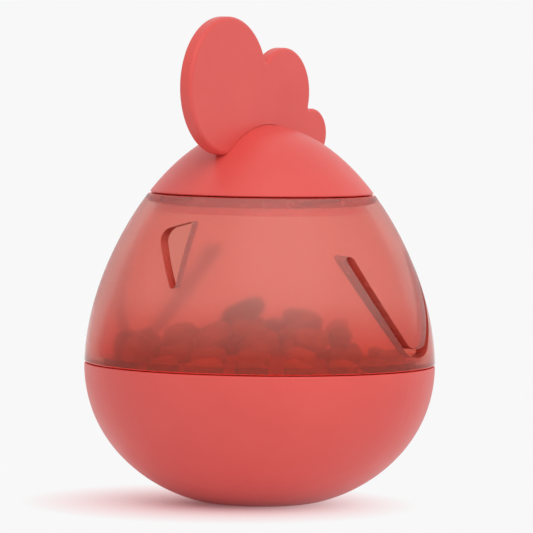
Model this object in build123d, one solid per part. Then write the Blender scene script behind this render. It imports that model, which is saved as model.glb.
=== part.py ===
from build123d import *
import os
from math import asin, atan, degrees, pi, radians, sin, sqrt

# Egg-shaped treat toy: a weighted bowl, a see-through treat chamber and a screw lid with a comb.
# Millimetres, +Z up, front towards -Y, origin at the middle of the flat foot.

# Egg outline
equator_radius = 50.0
seam_height = 39.7
crown_height = 107.9
foot_radius = 12.0
bowl_bottom_share = 0.25
bowl_side_share = 0.68
egg_side_share = 0.381
egg_crown_share = 0.557
bend_share = 0.6

# Fits
overrun = 8.0
seat_gap = 0.1
seam_gap = 0.25
fit_clearance = 0.15
running_clearance = 0.3

# Bowl
bowl_wall = 2.4
rim_edge_radius = 0.5
rib_count = 8
rib_thickness = 1.6
rib_reach = 6.0
rib_length = 18.0

# Ballast and its screws
ballast_gap = 0.5
ballast_top = 12.6
ballast_edge = 1.0
screw_count = 3
screw_circle_radius = 21.0
ballast_boss_radius = 3.6
ballast_boss_top = 8.6
ballast_screw_radius = 1.5
ballast_screw_grip = 4.4
ballast_head_radius = 2.9
ballast_head_height = 2.0
drive_radius = 1.1
drive_depth = 0.9

# Treat floor
floor_wall = 2.0
floor_rise = 6.0
floor_rim_width = 2.4

# Chamber shell
shell_wall = 3.2
shell_edge_radius = 0.5
plug_depth = 4.0
plug_wall = 1.8
plug_flange = 2.0
snap_depth = 0.45
snap_height = 1.2
snap_rise = 1.2

# Beak opening, seen from the front
beak_base = 1.7
beak_top_drop = 6.6
beak_height = 21.1
beak_reach = 11.0
beak_point_drop = 3.0
beak_corner_radius = 1.0
beak_point_radius = 2.8
beak_tip_radius = 1.0

# Wing slots, seen along the wing direction
wing_angle = 7.0
wing_slot_width = 2.5
wing_tip_rise = 6.2
wing_tip_radius = 14.0
wing_bend_radius = 3.5
wing_side_share = 0.973
wing_tip_turn = 18.0
wing_bend_turn = 28.0
wing_side_turn = 33.0

# Lid seam and screw neck
lid_height = 19.9
lid_gap = 0.35
rim_land = 3.6
collar_wall = 1.6
collar_depth = 5.4
thread_start_count = 4
thread_lead = 20.0
thread_turn = 67.0
lug_angle = 30.0
lug_depth = 1.1
lug_height = 1.4
lug_play = 0.35

# Lid
lid_wall = 2.2
lid_edge_radius = 0.35
skirt_wall = 1.8
skirt_depth = 5.0
liner_wall = 1.6
liner_lip = 4.0
liner_bead = 0.8
liner_bead_height = 0.8

# Comb: lobe centres ahead of the axis and above the crown
comb_thickness = 4.2
comb_edge_radius = 1.1
comb_notch_radius = 0.8
big_lobe_ahead = 19.9
big_lobe_rise = 11.0
big_lobe_radius = 19.5
mid_lobe_behind = 8.7
mid_lobe_rise = 8.9
mid_lobe_radius = 12.9
small_lobe_behind = 23.6
small_lobe_drop = 2.9
small_lobe_radius = 7.2
comb_foot_ahead = 18.0
comb_foot_behind = 26.0
comb_foot_depth = 18.0
peg_radius = 1.8
peg_offset = 9.0
pad_radius = 4.2
pad_drop = 2.0
comb_screw_radius = 1.0
comb_screw_grip = 7.0
comb_head_radius = 3.4
comb_head_height = 1.8

# Treats: a heap of bars in layers of rings over the floor
treat_length = 12.0
treat_width = 6.6
treat_height = 6.0
treat_gap = 0.3
treat_layer_count = 3
heap_edge = 0.8
heap_inset = 15.5
treat_yaw_angle = 137.5
treat_layer_angle = 17.0


def bowl_points(inset):
    return [
        (foot_radius, inset),
        (foot_radius + bowl_bottom_share * equator_radius - bend_share * inset, inset),
        (equator_radius - inset, seam_height * (1 - bowl_side_share) + bend_share * inset),
        (equator_radius - inset, seam_height),
    ]


def egg_points(inset):
    rise = crown_height - seam_height
    return [
        (equator_radius - inset, seam_height),
        (equator_radius - inset, seam_height + egg_side_share * rise - bend_share * inset),
        (egg_crown_share * equator_radius - bend_share * inset, crown_height - inset),
        (0, crown_height - inset),
    ]


# Point of a cubic curve at a share of its length parameter
def curve_point(points, share):
    rest = 1 - share
    weights = (rest**3, 3 * share * rest**2, 3 * share**2 * rest, share**3)
    radius = sum(w * p[0] for w, p in zip(weights, points))
    height = sum(w * p[1] for w, p in zip(weights, points))
    return radius, height


# Both outlines climb steadily, so halving the span finds the height
def radius_at(points, height):
    low, high = 0.0, 1.0
    for _ in range(50):
        middle = (low + high) / 2
        if curve_point(points, middle)[1] < height:
            low = middle
        else:
            high = middle
    return curve_point(points, low)[0]


def crown_at(points, radius):
    low, high = 0.0, 1.0
    for _ in range(50):
        middle = (low + high) / 2
        if curve_point(points, middle)[0] > radius:
            low = middle
        else:
            high = middle
    return curve_point(points, low)[1]


def on_profile(points):
    return [(radius, 0, height) for radius, height in points]


def egg_body(inset):
    points = on_profile(egg_points(inset))
    centre = (0, 0, seam_height)
    outline = [Bezier(*points), Line(points[3], centre), Line(centre, points[0])]
    return revolve(make_face(outline), Axis.Z)


def bowl_body(inset):
    points = on_profile(bowl_points(inset))
    centre = (0, 0, seam_height)
    bottom = (0, 0, inset)
    outline = [
        Bezier(*points),
        Line(points[3], centre),
        Line(centre, bottom),
        Line(bottom, points[0]),
    ]
    return revolve(make_face(outline), Axis.Z)


def disc(radius, low, high):
    return Pos(0, 0, low) * extrude(Circle(radius), high - low)


def ring(inner, outer, low, high):
    return disc(outer, low, high) - disc(inner, low - overrun, high + overrun)


def below(solid, height):
    return split(solid, Plane.XY.offset(height), keep=Keep.BOTTOM)


def above(solid, height):
    return split(solid, Plane.XY.offset(height), keep=Keep.TOP)


def outer_edge(solid, place):
    return solid.edges().group_by(Axis.Z)[place].sort_by(Edge.length)[-1]


# Heights and radii that several pieces share
shell_bottom = seam_height + seam_gap
lid_seam_height = crown_height - lid_height
plug_bottom = seam_height - plug_depth
floor_top = plug_bottom - seat_gap
floor_seat = floor_top - floor_wall
plug_radius = radius_at(bowl_points(bowl_wall), plug_bottom) - fit_clearance
floor_radius = radius_at(bowl_points(bowl_wall), floor_seat) - fit_clearance
dish_radius = floor_radius - floor_rim_width
dish_sphere = (dish_radius**2 + floor_rise**2) / (2 * floor_rise)
snap_low = plug_bottom + snap_rise
wing_side_radius = wing_side_share * (lid_seam_height - seam_height)
neck_radius = radius_at(egg_points(0), lid_seam_height) - rim_land
skirt_radius = neck_radius - lug_depth - running_clearance
skirt_bottom = lid_seam_height - skirt_depth
lid_bottom = lid_seam_height + lid_gap
lug_centre = skirt_bottom + lug_height
ledge_centre = lug_centre + lug_height + lug_play
peg_bottom = crown_at(egg_points(lid_wall), peg_offset) - pad_drop
liner_radius = skirt_radius - skirt_wall - running_clearance
liner_bottom = skirt_bottom + liner_bead_height + seat_gap


def screw_spots():
    return PolarLocations(screw_circle_radius, screw_count)


def base_bowl():
    bowl = bowl_body(0) - bowl_body(bowl_wall)
    bowl = fillet(outer_edge(bowl, -1), rim_edge_radius)
    inside = bowl_body(bowl_wall / 2)
    rib = Pos(floor_radius, 0, floor_seat - rib_length / 2) * Box(2 * rib_reach, rib_thickness, rib_length)
    ribs = [turn * rib for turn in PolarLocations(0, rib_count)]
    boss = disc(ballast_boss_radius, 0, ballast_boss_top)
    bosses = [spot * boss for spot in screw_spots()]
    bowl += [inside & piece for piece in ribs + bosses]
    pilot = disc(ballast_screw_radius, ballast_boss_top - ballast_screw_grip, ballast_boss_top + overrun)
    bowl -= [spot * pilot for spot in screw_spots()]
    groove_radius = plug_radius + snap_depth + fit_clearance
    return bowl - ring(
        plug_radius - plug_wall,
        groove_radius,
        snap_low - fit_clearance,
        snap_low + snap_height + fit_clearance,
    )


def ballast_weight():
    weight = below(bowl_body(bowl_wall + ballast_gap), ballast_top)
    weight = chamfer(outer_edge(weight, -1), ballast_edge)
    pocket = disc(ballast_boss_radius + running_clearance, 0, ballast_boss_top)
    hole = disc(ballast_screw_radius + running_clearance, 0, ballast_top + overrun)
    return weight - [spot * cut for spot in screw_spots() for cut in (pocket, hole)]


def screw(head_radius, head_height, shank_radius, length):
    head = fillet(outer_edge(disc(head_radius, 0, head_height), -1), head_height / 2)
    drive = extrude(RegularPolygon(drive_radius, 6), drive_depth)
    shank = disc(shank_radius, -length, 0)
    return head + shank - Pos(0, 0, head_height - drive_depth) * drive


def ballast_screws():
    reach = ballast_top - ballast_boss_top + ballast_screw_grip - seat_gap
    one = screw(ballast_head_radius, ballast_head_height, ballast_screw_radius - seat_gap, reach)
    return Compound([spot * (Pos(0, 0, ballast_top) * one) for spot in screw_spots()])


# Height of the domed floor at a distance from the axis
def floor_height(distance):
    return floor_top + floor_rise - dish_sphere + sqrt(dish_sphere**2 - distance**2)


def dome_arc(drop):
    spots = (0, dish_radius / 2, dish_radius)
    return ThreePointArc(*[(spot, 0, floor_height(spot) - drop) for spot in spots])


def treat_floor():
    top = dome_arc(0)
    under = dome_arc(floor_wall)
    rim = Polyline(top @ 1, (floor_radius, 0, floor_top), (floor_radius, 0, floor_seat), under @ 1)
    return revolve(make_face([top, rim, under, Line(under @ 0, top @ 0)]), Axis.Z)


def beak_cut():
    beak_top = lid_seam_height - beak_top_drop
    top = (beak_base, beak_top)
    point = (beak_base - beak_reach, beak_top - beak_point_drop)
    tip = (beak_base, beak_top - beak_height)
    face = make_face(Polyline(tip, top, point, close=True))
    corners = [(top, beak_corner_radius), (point, beak_point_radius), (tip, beak_tip_radius)]
    for corner, radius in corners:
        face = fillet(face.vertices().sort_by_distance(corner)[0], radius)
    return extrude(Plane.XZ * face, equator_radius + overrun)


def wing_cut():
    half_width = wing_slot_width / 2
    tip = (0, seam_height + wing_tip_rise - half_width)
    low = JernArc(tip, (1, 0), wing_tip_radius + half_width, wing_tip_turn)
    bend = JernArc(low @ 1, low % 1, wing_bend_radius + half_width, wing_bend_turn)
    side = JernArc(bend @ 1, bend % 1, wing_side_radius + half_width, wing_side_turn)
    half = [low, bend, side]
    line = Wire(half + [mirror(arc, Plane.YZ).edge() for arc in half])
    slot = make_face(line.offset_2d(half_width))
    out = Vector(1, 0, 0).rotate(Axis.Z, wing_angle)
    along = Vector(0, 1, 0).rotate(Axis.Z, wing_angle)
    return extrude(Plane((0, 0, 0), x_dir=along, z_dir=out) * slot, equator_radius + overrun)


# Ramped thread piece: a slice of a ring between two planes tilted by the thread
def ramp(inner, outer, centre):
    middle = (inner + outer) / 2
    width = 2 * middle * sin(radians(lug_angle / 2))
    tilt = degrees(atan(thread_lead / (2 * pi * middle)))
    slab = Pos(middle, 0, centre) * Rot(X=tilt) * Box(middle, width, lug_height)
    tube = ring(inner, outer, centre - overrun, centre + overrun)
    piece = slab & tube
    step = 360 / thread_start_count
    return [Rot(Z=thread_turn + step * start) * piece for start in range(thread_start_count)]


def chamber_shell():
    shell = above(egg_body(0) - egg_body(shell_wall), shell_bottom)
    shell = below(shell, lid_seam_height)
    shell = fillet([outer_edge(shell, -1), outer_edge(shell, 0)], shell_edge_radius)
    plug_inside = plug_radius - plug_wall
    flange = above(below(egg_body(shell_wall / 2), shell_bottom + plug_flange), shell_bottom)
    shell += flange - disc(plug_inside, 0, crown_height)
    shell += ring(plug_inside, plug_radius, plug_bottom, shell_bottom + plug_flange)
    shell += ring(plug_inside, plug_radius + snap_depth, snap_low, snap_low + snap_height)
    shoulder = above(below(egg_body(shell_wall / 2), lid_seam_height), lid_seam_height - shell_wall)
    shell += shoulder - disc(neck_radius, 0, crown_height)
    shell += ring(neck_radius, neck_radius + collar_wall, lid_seam_height - collar_depth, lid_seam_height)
    shell -= disc(neck_radius, lid_seam_height - collar_depth, crown_height)
    shell += ramp(neck_radius - lug_depth, neck_radius + collar_wall / 2, ledge_centre)
    wing = wing_cut()
    return shell - [beak_cut(), wing, mirror(wing, Plane.YZ)]


def lid_dome():
    dome = above(egg_body(0), lid_bottom) - egg_body(lid_wall)
    dome = fillet(outer_edge(dome, 0), lid_edge_radius)
    inside = egg_body(lid_wall / 2)
    skirt = ring(skirt_radius - skirt_wall, skirt_radius, skirt_bottom, crown_height)
    bead = ring(
        skirt_radius - skirt_wall - liner_bead,
        skirt_radius,
        skirt_bottom,
        skirt_bottom + liner_bead_height,
    )
    pad = disc(pad_radius, peg_bottom, crown_height)
    pads = [Pos(0, side * peg_offset, 0) * pad for side in (-1, 1)]
    dome += [inside & piece for piece in [skirt] + pads]
    dome += bead
    dome += ramp(skirt_radius - skirt_wall / 2, neck_radius - running_clearance, lug_centre)
    hole = disc(peg_radius + fit_clearance, 0, crown_height + overrun)
    return dome - [Pos(0, side * peg_offset, 0) * hole for side in (-1, 1)]


def lid_liner():
    cup = disc(liner_radius, liner_bottom, liner_bottom + liner_lip)
    hollow = disc(liner_radius - liner_wall, liner_bottom + liner_wall, crown_height)
    return cup - hollow


def comb_face():
    big = (-big_lobe_ahead, crown_height + big_lobe_rise)
    mid = (mid_lobe_behind, crown_height + mid_lobe_rise)
    small = (small_lobe_behind, crown_height - small_lobe_drop)
    foot = crown_height - comb_foot_depth
    web = Polygon(big, (-comb_foot_ahead, foot), (comb_foot_behind, foot), small, mid, align=None)
    lobes = Pos(*big) * Circle(big_lobe_radius) + Pos(*mid) * Circle(mid_lobe_radius)
    lobes += Pos(*small) * Circle(small_lobe_radius)
    face = web + lobes
    return fillet(face.vertices().sort_by(Axis.Y)[2:], comb_notch_radius)


def comb():
    plate = extrude(Plane.YZ * comb_face(), comb_thickness / 2, both=True)
    sides = plate.faces().sort_by(Axis.X)
    plate = fillet(sides[0].edges() + sides[-1].edges(), comb_edge_radius)
    plate -= egg_body(-seat_gap)
    peg = disc(peg_radius, peg_bottom + seat_gap, crown_height + big_lobe_rise / 2)
    pilot = disc(comb_screw_radius, 0, peg_bottom + comb_screw_grip)
    plate += [Pos(0, side * peg_offset, 0) * peg for side in (-1, 1)]
    return plate - [Pos(0, side * peg_offset, 0) * pilot for side in (-1, 1)]


def comb_screws():
    one = screw(comb_head_radius, comb_head_height, comb_screw_radius - seat_gap / 2, comb_screw_grip - seat_gap)
    one = Pos(0, 0, peg_bottom) * Rot(X=180) * one
    return Compound([Pos(0, side * peg_offset, 0) * one for side in (-1, 1)])


def treat_bar():
    return extrude(SlotOverall(treat_length, treat_width), treat_height)


# Rings of one layer from the edge of the floor inwards, each with as many bars as it has room for
def treat_rings(layer):
    step = treat_length + 2 * treat_gap
    distance = dish_radius - treat_length / 2 - heap_edge - layer * heap_inset
    while distance > -treat_gap:
        crowded = 2 * distance < step
        yield max(distance, 0), 1 if crowded else int(pi / asin(step / (2 * distance)))
        distance -= step


# Each bar lies on the dome below it, leaning with the slope
def treats():
    bar = treat_bar()
    bars = []
    dome_centre = Pos(0, 0, floor_top + floor_rise - dish_sphere)
    for layer in range(treat_layer_count):
        lift = dish_sphere + treat_gap + layer * (treat_height + treat_gap)
        for distance, count in treat_rings(layer):
            for place in range(count):
                around = treat_layer_angle * layer + 360 * place / count
                lean = Rot(Z=around) * Rot(Y=degrees(asin(distance / dish_sphere)))
                yaw = Rot(Z=treat_yaw_angle * len(bars))
                bars.append(dome_centre * lean * Pos(0, 0, lift) * yaw * bar)
    return Compound(bars)


pieces = {
    "base_bowl": base_bowl,
    "ballast_weight": ballast_weight,
    "ballast_screws": ballast_screws,
    "treat_floor": treat_floor,
    "chamber_shell": chamber_shell,
    "lid_dome": lid_dome,
    "lid_liner": lid_liner,
    "comb": comb,
    "comb_screws": comb_screws,
    "treats": treats,
}

os.makedirs("parts", exist_ok=True)
for name, make in pieces.items():
    export_step(make(), f"parts/{name}.step")
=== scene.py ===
import math
import random

import bmesh
import bpy
from mathutils import Matrix, Vector, noise


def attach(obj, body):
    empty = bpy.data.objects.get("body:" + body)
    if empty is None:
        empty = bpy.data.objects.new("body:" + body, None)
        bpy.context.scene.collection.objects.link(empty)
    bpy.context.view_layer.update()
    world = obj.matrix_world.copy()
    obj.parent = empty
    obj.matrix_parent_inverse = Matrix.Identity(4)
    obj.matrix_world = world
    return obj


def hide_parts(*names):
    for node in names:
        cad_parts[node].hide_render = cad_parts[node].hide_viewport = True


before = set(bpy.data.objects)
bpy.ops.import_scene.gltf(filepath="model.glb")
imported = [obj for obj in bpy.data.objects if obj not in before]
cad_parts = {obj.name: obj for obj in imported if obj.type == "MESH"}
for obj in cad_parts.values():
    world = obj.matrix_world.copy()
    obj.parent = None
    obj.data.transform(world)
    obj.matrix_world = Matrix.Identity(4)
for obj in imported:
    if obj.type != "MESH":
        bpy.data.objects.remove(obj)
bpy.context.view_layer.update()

mm = 0.001
straightUp = Vector((0, 0, 1))
scene = bpy.context.scene
scene.view_settings.view_transform = "Standard"


def linear(red, green, blue):  # screen colour 0-255 to scene colour
    def one(value):
        value /= 255
        return value / 12.92 if value <= 0.04045 else ((value + 0.055) / 1.055) ** 2.4
    return (one(red), one(green), one(blue), 1)


def fromAngles(turn, tilt):  # direction from a turn round the toy and a tilt up, in degrees
    turn, tilt = math.radians(turn), math.radians(tilt)
    flat = math.cos(tilt)
    return Vector((math.sin(turn) * flat, -math.cos(turn) * flat, math.sin(tilt)))


def newFinish(name):
    finish = bpy.data.materials.new(name)
    finish.use_nodes = True
    tree = finish.node_tree
    return finish, tree, tree.nodes["Principled BSDF"]


def addNode(tree, kind, **sockets):
    node = tree.nodes.new(kind)
    for key, value in sockets.items():
        node.inputs[key.replace("_", " ")].default_value = value
    return node


def mathNode(tree, work, *values):
    node = tree.nodes.new("ShaderNodeMath")
    node.operation = work
    for socket, value in zip(node.inputs, values):
        if isinstance(value, (int, float)):
            socket.default_value = value
        else:
            tree.links.new(value, socket)
    return node.outputs[0]


def noiseAt(tree, scale, detail, roughness=0.5):  # scale counts per metre
    place = tree.nodes.new("ShaderNodeTexCoord")
    cloud = addNode(tree, "ShaderNodeTexNoise", Scale=scale, Detail=detail, Roughness=roughness)
    tree.links.new(place.outputs["Object"], cloud.inputs["Vector"])
    return cloud.outputs["Fac"]


def rampBetween(tree, source, low, high, start=0.3, end=0.7):
    ramp = tree.nodes.new("ShaderNodeValToRGB")
    ramp.color_ramp.elements[0].position = start
    ramp.color_ramp.elements[0].color = low
    ramp.color_ramp.elements[1].position = end
    ramp.color_ramp.elements[1].color = high
    tree.links.new(source, ramp.inputs["Fac"])
    return ramp.outputs["Color"]


def spread(tree, source, low, high, start=0.1, end=0.9):  # start to end becomes low to high
    ends = {"From_Min": start, "From_Max": end, "To_Min": low, "To_Max": high}
    reach = addNode(tree, "ShaderNodeMapRange", **ends)
    tree.links.new(source, reach.inputs["Value"])
    return reach.outputs["Result"]


def bumpFrom(tree, source, strength, depth):  # depth in mm
    bump = addNode(tree, "ShaderNodeBump", Strength=strength, Distance=depth * mm)
    tree.links.new(source, bump.inputs["Height"])
    return bump.outputs["Normal"]


coralLook = {  # satin moulded plastic of the bowl, the lid and the comb
    "low": linear(213, 76, 71),
    "high": linear(218, 82, 76),
    "roughLow": 0.34,
    "roughHigh": 0.42,
    "grain": 0.06,
}
floorLook = {  # plainer plastic of the treat floor and the liner
    "low": linear(200, 78, 66),
    "high": linear(208, 86, 74),
    "roughLow": 0.5,
    "roughHigh": 0.62,
    "grain": 0.08,
}
mould = {  # shared by both: patches per metre, grain depth in mm, gloss
    "toneScale": 45,
    "mattScale": 160,
    "grainScale": 2600,
    "grainDepth": 0.04,
    "bend": 1.46,
}


def mouldedPlastic(name, look):
    finish, tree, shader = newFinish(name)
    tone = rampBetween(tree, noiseAt(tree, mould["toneScale"], 3), look["low"], look["high"])
    matt = spread(tree, noiseAt(tree, mould["mattScale"], 4), look["roughLow"], look["roughHigh"])
    grain = noiseAt(tree, mould["grainScale"], 2)
    pores = bumpFrom(tree, grain, look["grain"], mould["grainDepth"])
    tree.links.new(tone, shader.inputs["Base Color"])
    tree.links.new(matt, shader.inputs["Roughness"])
    tree.links.new(pores, shader.inputs["Normal"])
    shader.inputs["IOR"].default_value = mould["bend"]
    return finish


outsideLook = {  # outer skin of the see-through wall, faintly milky; its colour is paler higher up as painted sheen from the light above and deeper low down as painted shade
    "low": linear(224, 122, 104),
    "high": linear(247, 214, 205),
    # deeper coral where the wall is seen along its length, where the painted sheen fades out
    "edge": linear(220, 113, 97),
    "start": 44.5,  # heights in mm
    "end": 60.0,
    "drift": 0.03,
    "through": 0.86,
    "rough": 0.05,
    "roughHigh": 0.26,
}
insideLook = {  # inner skin, coral
    "low": linear(250, 112, 94),
    "high": linear(253, 118, 100),
    "through": 0.72,
    "rough": 0.14,
}
rimLook = {  # neck, plug and collar
    "low": linear(244, 66, 56),
    "high": linear(250, 74, 64),
    "through": 0.15,
    "rough": 0.25,
}
cutLook = {  # edges of the beak and the wing slots; darker, browner and less clear than the wall as painted shade inside the openings
    "low": linear(186, 73, 61),
    "high": linear(194, 81, 69),
    "through": 0.18,
    "rough": 0.25,
}
clear = {  # shared by all four
    "toneScale": 30,
    "mattScale": 200,
    "mattSpread": 0.04,
    "edgeStart": 0.3,
    "edgeEnd": 0.85,
    "bend": 1.2,
}


def climbFrom(tree, look):  # 0 to 1 between two heights, with a slight drift; the mask of the outer skin's painted sheen and of its roughness
    place = tree.nodes.new("ShaderNodeTexCoord")
    parts = tree.nodes.new("ShaderNodeSeparateXYZ")
    tree.links.new(place.outputs["Object"], parts.inputs["Vector"])
    climb = spread(tree, parts.outputs["Z"], 0, 1, look["start"] * mm, look["end"] * mm)
    drift = spread(tree, noiseAt(tree, clear["toneScale"], 3), -look["drift"], look["drift"])
    return mathNode(tree, "ADD", climb, drift)


def edgeTint(tree, tone, edge):  # clear plastic is deeper where it is seen along the wall; the outer skin's painted sheen gives way to this deeper colour there
    lean = addNode(tree, "ShaderNodeLayerWeight", Blend=0.5)
    share = spread(tree, lean.outputs["Facing"], 0, 1, clear["edgeStart"], clear["edgeEnd"])
    pick = tree.nodes.new("ShaderNodeMix")
    pick.data_type = "RGBA"
    pick.inputs[7].default_value = edge
    tree.links.new(share, pick.inputs[0])
    tree.links.new(tone, pick.inputs[6])
    return pick.outputs[2]


def clearPlastic(name, look):
    finish, tree, shader = newFinish(name)
    if "edge" in look:
        climb = climbFrom(tree, look)
        # painted sheen and shade: the outer skin runs from deep coral low down to pale pink higher
        # up, where the light above would shine on it
        tone = rampBetween(tree, climb, look["low"], look["high"], 0, 1)
        tone = edgeTint(tree, tone, look["edge"])
        matt = spread(tree, climb, look["rough"], look["roughHigh"])
    else:
        tone = rampBetween(tree, noiseAt(tree, clear["toneScale"], 3), look["low"], look["high"])
        patches = noiseAt(tree, clear["mattScale"], 3)
        matt = spread(tree, patches, look["rough"], look["rough"] + clear["mattSpread"])
    tree.links.new(tone, shader.inputs["Base Color"])
    tree.links.new(matt, shader.inputs["Roughness"])
    shader.inputs["Transmission Weight"].default_value = look["through"]
    shader.inputs["IOR"].default_value = clear["bend"]
    return finish


treatLook = {  # dry baked treats; lengths in mm, angles in degrees
    "low": linear(76, 44, 22),
    "high": linear(202, 144, 90),
    "toneStart": 0.15,
    "toneEnd": 0.85,
    "batch": 0.5,  # share of a bar's own tone
    "patchScale": 260,
    "crumbScale": 900,
    "crumb": 0.7,
    "crumbDepth": 0.4,
    "roughLow": 0.7,
    "roughHigh": 0.95,
    "seed": 7,
    "axisSteps": 12,
    "rings": 12,
    "spokes": 20,
    "endBend": 0.8,
    "sideBend": 0.7,
    "lumps": 0.22,
    "lumpScale": 1.9,
    "pits": 0.05,
    "pitScale": 6,
    "shrink": (0.84, 1.04),
    "grow": {"top": 1.2, "upper": 1.08, "low": 1.0},
    "upperLayer": 48.5,
    "topLayer": 56.0,
    "settle": 2.6,
    "settleSpread": (0.4, 1.3),
    "tilt": {"top": 24, "upper": 24, "low": 9.6},
    "rightTurn": 123.5,
    "leftEdge": -27,
    "prop": -42,
    "propLift": 3.6,
    "topShifts": ((2.4, -3.0, 26), (4.5, -5.2, -12)),
}


def bakedTreat():
    finish, tree, shader = newFinish("bakedTreat")
    crumb = noiseAt(tree, treatLook["crumbScale"], 6, 0.7)
    island = tree.nodes.new("ShaderNodeNewGeometry").outputs["Random Per Island"]
    patches = noiseAt(tree, treatLook["patchScale"], 5, 0.65)
    patches = spread(tree, patches, 0, 1 - treatLook["batch"])
    shade = mathNode(tree, "MULTIPLY_ADD", island, treatLook["batch"], patches)
    start, end = treatLook["toneStart"], treatLook["toneEnd"]
    tone = rampBetween(tree, shade, treatLook["low"], treatLook["high"], start, end)
    crust = bumpFrom(tree, crumb, treatLook["crumb"], treatLook["crumbDepth"])
    matt = spread(tree, crumb, treatLook["roughLow"], treatLook["roughHigh"])
    tree.links.new(tone, shader.inputs["Base Color"])
    tree.links.new(crust, shader.inputs["Normal"])
    tree.links.new(matt, shader.inputs["Roughness"])
    return finish


ironLook = {  # cast weight in the bowl
    "low": linear(58, 58, 60),
    "high": linear(84, 84, 86),
    "rough": 0.5,
    "scale": 220,
}
steelLook = {  # screws
    "low": linear(150, 150, 152),
    "high": linear(186, 186, 188),
    "rough": 0.25,
    "scale": 500,
}
metal = {"mattSpread": 0.15, "finer": 6, "bump": 0.15, "depth": 0.1}  # shared by both


def metalFinish(name, look):
    finish, tree, shader = newFinish(name)
    cloud = noiseAt(tree, look["scale"], 5, 0.6)
    tone = rampBetween(tree, cloud, look["low"], look["high"])
    matt = spread(tree, cloud, look["rough"], look["rough"] + metal["mattSpread"])
    grain = noiseAt(tree, look["scale"] * metal["finer"], 3)
    tree.links.new(tone, shader.inputs["Base Color"])
    tree.links.new(matt, shader.inputs["Roughness"])
    tree.links.new(bumpFrom(tree, grain, metal["bump"], metal["depth"]), shader.inputs["Normal"])
    shader.inputs["Metallic"].default_value = 1
    return finish


finishes = {
    "coral": mouldedPlastic("coralPlastic", coralLook),
    "floor": mouldedPlastic("floorPlastic", floorLook),
    "outside": clearPlastic("clearCoralOutside", outsideLook),
    "inside": clearPlastic("clearCoralInside", insideLook),
    "rim": clearPlastic("clearCoralRim", rimLook),
    "cut": clearPlastic("clearCoralCut", cutLook),
    "treat": bakedTreat(),
    "iron": metalFinish("castIron", ironLook),
    "steel": metalFinish("plainSteel", steelLook),
}
print("finishes ready:", len(finishes))

wears = {
    "base_bowl": ["coral"],
    "lid_dome": ["coral"],
    "comb": ["coral"],
    "treat_floor": ["floor"],
    "lid_liner": ["floor"],
    "chamber_shell": ["outside", "inside", "rim", "cut"],
    "treats": ["treat"],
    "ballast_weight": ["iron"],
    "ballast_screws": ["steel"],
    "comb_screws": ["steel"],
}
for node, coats in wears.items():
    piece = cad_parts[node]
    piece.data.materials.clear()
    for coat in coats:
        piece.data.materials.append(finishes[coat])
print("nodes dressed:", len(wears))

egg = {  # outline of the wall in mm, to tell its skins from its edges
    "side": 50.0,
    "seam": 39.7,
    "crown": 107.9,
    "sideShare": 0.381,
    "crownShare": 0.557,
    "skin": 0.86,
    "cutLow": 43.0,
    "cutHigh": 81.9,
    "halvings": 30,
}


def eggLean(height):  # outward and upward share of the skin's direction at a height in mm
    rise = egg["crown"] - egg["seam"]
    heights = (0, egg["sideShare"] * rise, rise, rise)
    radii = (egg["side"], egg["side"], egg["crownShare"] * egg["side"], 0)
    low, high = 0.0, 1.0
    for step in range(egg["halvings"]):
        share = (low + high) / 2
        rest = 1 - share
        pulls = (3 * share * rest ** 2, 3 * share ** 2 * rest, share ** 3)
        here = sum(pull * point for pull, point in zip(pulls, heights[1:]))
        low, high = (share, high) if here < height - egg["seam"] else (low, share)
    share, rest = low, 1 - low
    weights = (3 * rest ** 2, 6 * share * rest, 3 * share ** 2)
    climb = sum(w * (b - a) for w, a, b in zip(weights, heights, heights[1:]))
    inward = sum(w * (a - b) for w, a, b in zip(weights, radii, radii[1:]))
    return climb / math.hypot(climb, inward), inward / math.hypot(climb, inward)


def sortSkins(piece):  # outside, inside, rim or cut edge, face by face
    counts = [0, 0, 0, 0]
    for face in piece.data.polygons:
        spot = face.center
        out = math.hypot(spot.x, spot.y)
        outward, upward = eggLean(spot.z / mm)
        lean = Vector((spot.x / out * outward, spot.y / out * outward, upward))
        along = face.normal.dot(lean)
        between = egg["cutLow"] < spot.z / mm < egg["cutHigh"]
        if along > egg["skin"]:
            face.material_index = 0
        elif along < -egg["skin"]:
            face.material_index = 1
        else:
            # faces round the openings take the cut finish, which carries painted shade
            face.material_index = 3 if between else 2
        counts[face.material_index] += 1
    print("chamber wall faces outside, inside, rim, cut:", counts)


sortSkins(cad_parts["chamber_shell"])


def looseSolids(mesh):  # point lists of the separate bars
    shape = bmesh.new()
    shape.from_mesh(mesh)
    bmesh.ops.remove_doubles(shape, verts=shape.verts, dist=0.002 * mm)
    seen, solids = set(), []
    for start in shape.verts:
        if start in seen:
            continue
        seen.add(start)
        queue, solid = [start], []
        while queue:
            vert = queue.pop()
            solid.append(vert.co.copy())
            for edge in vert.link_edges:
                other = edge.other_vert(vert)
                if other not in seen:
                    seen.add(other)
                    queue.append(other)
        solids.append(solid)
    shape.free()
    return solids


def barFrame(points):  # middle, axes and half sizes of one bar
    middle = sum(points, Vector()) / len(points)
    offsets = [point - middle for point in points]
    spans = [[sum(o[i] * o[j] for o in offsets) for j in range(3)] for i in range(3)]
    grip = Matrix(spans)
    along = max(offsets, key=lambda o: o.length).normalized()
    for step in range(treatLook["axisSteps"]):  # settles on the long axis
        along = (grip @ along).normalized()
    side = straightUp.cross(along).normalized()
    axes = (along, side, along.cross(side))
    halves = [max(abs(o.dot(axis)) for o in offsets) for axis in axes]
    return middle, axes, halves


def power(value, bend):
    return math.copysign(abs(value) ** bend, value)


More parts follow.
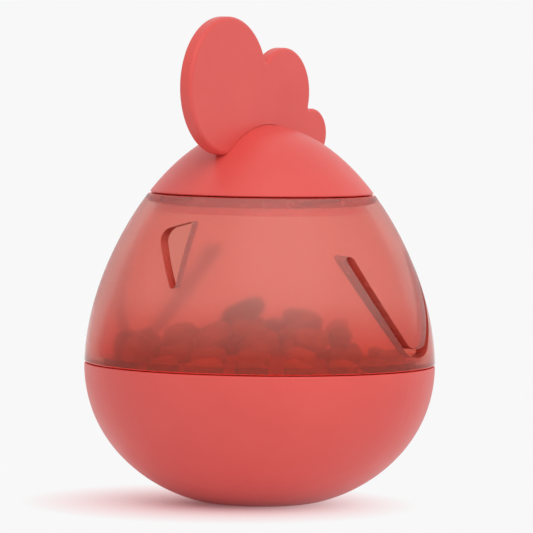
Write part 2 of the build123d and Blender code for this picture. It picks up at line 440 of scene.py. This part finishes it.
def addLump(shape, middle, axes, halves, dice):  # one rounded, crumbly bar
    rings, spokes = treatLook["rings"], treatLook["spokes"]
    ends, sides = treatLook["endBend"], treatLook["sideBend"]
    sizes = [half * dice.uniform(*treatLook["shrink"]) for half in halves]
    shift = Vector((dice.uniform(0, 90), dice.uniform(0, 90), dice.uniform(0, 90)))
    rows = []
    for ring in range(rings + 1):
        lean = math.pi * ring / rings - math.pi / 2
        row = []
        for spoke in range(spokes):
            turn = 2 * math.pi * spoke / spokes
            local = Vector((
                power(math.sin(lean), ends),
                power(math.cos(lean), sides) * power(math.cos(turn), sides),
                power(math.cos(lean), sides) * power(math.sin(turn), sides),
            ))
            swell = noise.noise(local * treatLook["lumpScale"] + shift)
            pit = abs(noise.noise(local * treatLook["pitScale"] + shift))
            dent = 1 - treatLook["lumps"] * (0.5 + 0.5 * swell) - treatLook["pits"] * pit
            place = middle.copy()
            for axis, size, value in zip(axes, sizes, local):
                place += axis * size * value * dent
            row.append(shape.verts.new(place))
            if ring in (0, rings):
                break
        rows.append(row)
    for low, high in zip(rows, rows[1:]):
        for spoke in range(spokes):
            after = (spoke + 1) % spokes
            if len(low) == 1:
                shape.faces.new((low[0], high[after], high[spoke]))
            elif len(high) == 1:
                shape.faces.new((low[spoke], low[after], high[0]))
            else:
                shape.faces.new((low[spoke], low[after], high[after], high[spoke]))


def layerOf(middle):
    if middle.z > treatLook["topLayer"] * mm:
        return "top"
    return "upper" if middle.z > treatLook["upperLayer"] * mm else "low"


def tipped(degrees, axis):
    return Matrix.Rotation(math.radians(degrees), 3, axis)


def fallInPlace(layer, middle, axes, dice, topShifts):  # loose bars lean and sink between others
    tilt = treatLook["tilt"][layer]
    if layer == "upper":
        sink = treatLook["settle"] * dice.uniform(*treatLook["settleSpread"])
        middle = middle - straightUp * sink * mm
    turn = tipped(dice.uniform(-tilt, tilt), axes[1])
    turn = tipped(dice.uniform(-tilt, tilt), axes[0]) @ turn
    right = fromAngles(treatLook["rightTurn"], 0)
    if layer == "low" and right.dot(middle) < treatLook["leftEdge"] * mm:  # propped up at the left
        turn = turn @ tipped(treatLook["prop"], axes[1])
        middle = middle + straightUp * treatLook["propLift"] * mm
    axes = [turn @ axis for axis in axes]
    if layer == "top":
        aside, lift, rise = topShifts.pop(0)
        middle = middle + (right * aside + straightUp * lift) * mm
        deep = straightUp.cross(right)
        rise = math.radians(rise)
        along = right * math.cos(rise) + straightUp * math.sin(rise)
        axes = [along, deep, along.cross(deep)]
    return middle, axes


def makeTreats():
    dice = random.Random(treatLook["seed"])
    shape = bmesh.new()
    bars = looseSolids(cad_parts["treats"].data)
    right = fromAngles(treatLook["rightTurn"], 0)
    bars.sort(key=lambda points: right.dot(sum(points, Vector())) / len(points))
    topShifts = list(treatLook["topShifts"])
    for points in bars:
        middle, axes, halves = barFrame(points)
        layer = layerOf(middle)
        halves = [half * treatLook["grow"][layer] for half in halves]
        middle, axes = fallInPlace(layer, middle, axes, dice, topShifts)
        addLump(shape, middle, axes, halves, dice)
    bmesh.ops.recalc_face_normals(shape, faces=shape.faces)
    mesh = bpy.data.meshes.new("treatHeap")
    shape.to_mesh(mesh)
    shape.free()
    mesh.shade_smooth()
    mesh.materials.append(finishes["treat"])
    heap = bpy.data.objects.new("treatHeap", mesh)
    scene.collection.objects.link(heap)
    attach(heap, "base")
    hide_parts("treats")
    print("treats shaped:", len(bars))


makeTreats()

studio = {  # pale paper, soft light from the upper right; reaches in mm, angles in degrees
    "paper": linear(248, 248, 248),
    "floorRadius": 12,  # metres
    "floorSides": 96,
    "floorRough": 0.5,
    "floorShine": 0.3,
    "level": 0.54,
    "overhead": 0.22,
    "aside": 0.06,
    "keyTurn": 55,
    "keyTilt": 49,
    "keySpread": 60,
    "keyShare": 0.36,
    "shadeAside": -11,
    "shadeAhead": 4,
    "shadeReach": 54,
    "shadeKept": 0.8,
    # painted pink bounce light from the coral toy, strongest at the foot of the shadow
    "paintedBounce": linear(243, 150, 156),
    "paintedBounceReach": 57,
}
shot = {  # camera of the photograph; reach in metres, aim in mm
    "turn": 33.5,
    "tilt": 3.0,
    "reach": 1.35,
    "roll": 0.75,
    "lens": 320.0,
    "sensor": 36,
    "near": 0.01,
    "far": 100,
    "aimHeight": 67.4,
    "aimAside": 1.6,
}
shotRight = fromAngles(shot["turn"] + 90, 0)


def seenRays(tree):  # 1 for what the camera, the clear plastic and the gloss see
    path = tree.nodes.new("ShaderNodeLightPath")
    clearRay, glossRay = path.outputs["Is Transmission Ray"], path.outputs["Is Glossy Ray"]
    either = mathNode(tree, "MAXIMUM", clearRay, glossRay)
    return mathNode(tree, "MAXIMUM", path.outputs["Is Camera Ray"], either)


def makeWorld():  # plain light for the toy, paper for what is seen behind it
    world = bpy.data.worlds.new("paperWorld")
    world.use_nodes = True
    tree = world.node_tree
    back = tree.nodes["Background"]
    back.inputs["Color"].default_value = (1, 1, 1, 1)
    place = tree.nodes.new("ShaderNodeTexCoord")
    slope = tree.nodes.new("ShaderNodeVectorMath")  # brighter overhead and to the right
    slope.operation = "DOT_PRODUCT"
    slope.inputs[1].default_value = shotRight * studio["aside"] + straightUp * studio["overhead"]
    tree.links.new(place.outputs["Generated"], slope.inputs[0])
    sky = mathNode(tree, "ADD", slope.outputs["Value"], studio["level"])
    tree.links.new(sky, back.inputs["Strength"])
    seen = addNode(tree, "ShaderNodeBackground", Color=studio["paper"], Strength=1)
    blend = tree.nodes.new("ShaderNodeMixShader")
    tree.links.new(seenRays(tree), blend.inputs["Fac"])
    tree.links.new(back.outputs[0], blend.inputs[1])
    tree.links.new(seen.outputs[0], blend.inputs[2])
    tree.links.new(blend.outputs[0], tree.nodes["World Output"].inputs["Surface"])
    scene.world = world


def floorPaper():  # takes the shadow near the toy and turns to even paper away from it; near the toy the paper's glow is painted pink as bounce light from the coral
    finish, tree, shader = newFinish("floorPaper")
    shader.inputs["Base Color"].default_value = studio["paper"]
    shader.inputs["Roughness"].default_value = studio["floorRough"]
    shader.inputs["Specular IOR Level"].default_value = studio["floorShine"]
    ahead = fromAngles(shot["turn"], 0) * studio["shadeAhead"]
    place = tree.nodes.new("ShaderNodeTexCoord")
    away = tree.nodes.new("ShaderNodeVectorMath")  # distance from the middle of the shadow
    away.operation = "DISTANCE"
    away.inputs[1].default_value = (shotRight * studio["shadeAside"] + ahead) * mm
    tree.links.new(place.outputs["Object"], away.inputs[0])
    fade = addNode(tree, "ShaderNodeMapRange", From_Min=0, From_Max=studio["shadeReach"] * mm)
    fade.inputs["To Min"].default_value = 1 - studio["shadeKept"]
    fade.interpolation_type = "SMOOTHSTEP"
    tree.links.new(away.outputs["Value"], fade.inputs["Value"])
    # painted pink bounce: the glow fades from pink near the toy to plain paper
    paintedBounce = spread(tree, away.outputs["Value"], 0, 1, 0, studio["paintedBounceReach"] * mm)
    paper = addNode(tree, "ShaderNodeEmission", Strength=1)
    tone = rampBetween(tree, paintedBounce, studio["paintedBounce"], studio["paper"], 0, 1)
    tree.links.new(tone, paper.inputs["Color"])
    share = mathNode(tree, "MULTIPLY", fade.outputs["Result"], seenRays(tree))
    blend = tree.nodes.new("ShaderNodeMixShader")
    tree.links.new(share, blend.inputs["Fac"])
    tree.links.new(shader.outputs[0], blend.inputs[1])
    tree.links.new(paper.outputs[0], blend.inputs[2])
    tree.links.new(blend.outputs[0], tree.nodes["Material Output"].inputs["Surface"])
    return finish


def makeFloor():
    mesh = bpy.data.meshes.new("paperFloor")
    shape = bmesh.new()
    sides, radius = studio["floorSides"], studio["floorRadius"]
    bmesh.ops.create_circle(shape, cap_ends=True, segments=sides, radius=radius)
    shape.to_mesh(mesh)
    shape.free()
    floor = bpy.data.objects.new("paperFloor", mesh)
    scene.collection.objects.link(floor)
    mesh.materials.append(floorPaper())


def makeKey():  # parallel light keeps the paper even from edge to edge
    lamp = bpy.data.lights.new("keyLight", "SUN")
    lamp.angle = math.radians(studio["keySpread"])
    lamp.energy = studio["keyShare"] * math.pi / math.sin(math.radians(studio["keyTilt"]))
    holder = bpy.data.objects.new("keyLight", lamp)
    holder.visible_glossy = False
    scene.collection.objects.link(holder)
    toward = fromAngles(studio["keyTurn"], studio["keyTilt"])
    holder.rotation_euler = toward.to_track_quat("Z", "Y").to_euler()


def makeCamera():
    lens = bpy.data.cameras.new("photoCamera")
    lens.sensor_width = shot["sensor"]
    lens.lens = shot["lens"]
    lens.clip_start, lens.clip_end = shot["near"], shot["far"]
    camera = bpy.data.objects.new("photoCamera", lens)
    scene.collection.objects.link(camera)
    away = fromAngles(shot["turn"], shot["tilt"])
    aim = (straightUp * shot["aimHeight"] + shotRight * shot["aimAside"]) * mm
    look = away.to_track_quat("Z", "Y").to_matrix().to_4x4()
    roll = Matrix.Rotation(math.radians(shot["roll"]), 4, "Z")
    camera.matrix_world = Matrix.Translation(aim + away * shot["reach"]) @ look @ roll
    scene.camera = camera


makeWorld()
makeFloor()
makeKey()
makeCamera()
print("studio ready")
